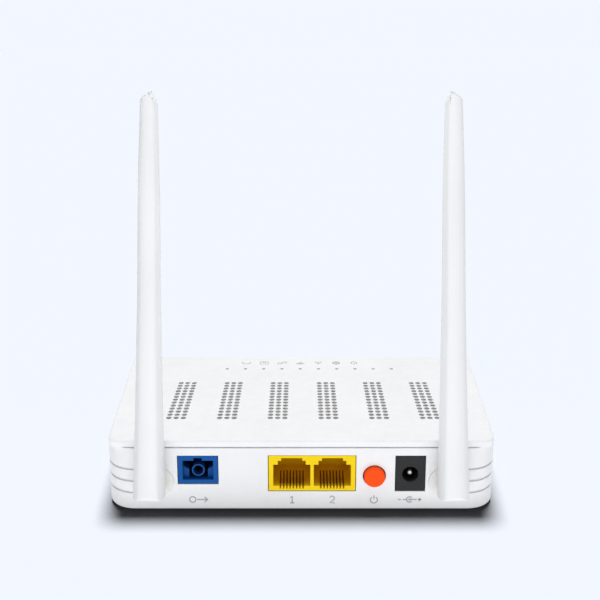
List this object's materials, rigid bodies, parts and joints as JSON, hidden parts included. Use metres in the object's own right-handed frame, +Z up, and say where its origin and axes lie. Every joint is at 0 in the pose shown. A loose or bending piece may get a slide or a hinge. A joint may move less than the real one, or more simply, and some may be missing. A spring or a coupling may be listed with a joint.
{
  "type": "optical network terminal",
  "caption": "Flat white desktop optical network terminal with upright paddle antennas, fibre, network and power sockets, a round power button and a vented cover.",
  "frame": {"origin": "on the surface it stands on, under the middle of the whole device, antennas included", "axes": "+Z up; the sockets face -Y; +X is to the right for someone who faces the sockets"},
  "size_m": [0.1356, 0.0817, 0.1354],
  "materials": {
    "case_white": "satin moulded plastic with a fine grain",
    "antenna_white": "satin moulded plastic",
    "socket_blue": "semi-gloss moulded plastic",
    "socket_yellow": "semi-gloss moulded plastic",
    "button_orange": "semi-gloss moulded plastic",
    "black_plastic": "matt moulded plastic",
    "board_green": "solder mask over glass-epoxy",
    "chip_epoxy": "moulded epoxy package",
    "plated_steel": "nickel plated steel",
    "gold_contact": "gold plated contact",
    "alloy": "matt aluminium",
    "foot_rubber": "soft matt rubber",
    "clear_plastic": "clear moulded plastic",
    "thermal_pad": "soft silicone pad",
    "sleeve_ceramic": "polished ceramic sleeve",
    "label_film": "blank film",
    "cable_black": "coaxial cable jacket"
  },
  "bodies": {
    "case": {"alignment_sleeve": "sleeve_ceramic", "antenna_left_coax": "cable_black", "antenna_left_washer": "plated_steel", "antenna_right_coax": "cable_black", "antenna_right_washer": "plated_steel", "board_screws": "plated_steel", "bottom_case": "case_white", "capacitors": "alloy", "case_screws": "plated_steel", "crystal": "plated_steel", "fibre_receptacle": "socket_blue", "flash_chip": "chip_epoxy", "heat_sink": "alloy", "lan_contacts": "gold_contact", "lan_socket": "socket_yellow", "lan_transformers": "chip_epoxy", "light_guide": "clear_plastic", "main_board": "board_green", "main_chip": "chip_epoxy", "memory_chip": "chip_epoxy", "optical_module": "plated_steel", "power_inductors": "chip_epoxy", "power_jack": "black_plastic", "power_jack_leaf": "plated_steel", "power_jack_pin": "plated_steel", "power_switch": "black_plastic", "radio_chip": "chip_epoxy", "radio_sockets": "gold_contact", "rating_label": "label_film", "receptacle_clip": "plated_steel", "rubber_feet": "foot_rubber", "shield_can": "plated_steel", "status_lamps": "clear_plastic", "switch_spring": "plated_steel", "thermal_pad": "thermal_pad", "top_cover": "case_white"},
    "left_antenna": {"antenna_left_blade": "antenna_white", "antenna_left_clip": "plated_steel", "antenna_left_feed": "cable_black", "antenna_left_radiator": "board_green", "antenna_left_swivel": "antenna_white"},
    "right_antenna": {"antenna_right_blade": "antenna_white", "antenna_right_clip": "plated_steel", "antenna_right_feed": "cable_black", "antenna_right_radiator": "board_green", "antenna_right_swivel": "antenna_white"},
    "power_button": {"power_button": "button_orange"}
  },
  "joints": [
    {"name": "left_antenna_swing", "type": "hinge", "parent": "case", "child": "left_antenna", "pos_m": [-0.046, -0.0319, 0.0109], "axis": [0, -1, 0], "range_deg": [-13, 92]},
    {"name": "right_antenna_swing", "type": "hinge", "parent": "case", "child": "right_antenna", "pos_m": [0.046, -0.0319, 0.0109], "axis": [0, 1, 0], "range_deg": [-13, 92]},
    {"name": "power_button_press", "type": "slide", "parent": "case", "child": "power_button", "axis": [0, 1, 0], "range_m": [0, 0.0018], "stiffness_N_per_m": 600, "deforming": ["switch_spring"]}
  ]
}
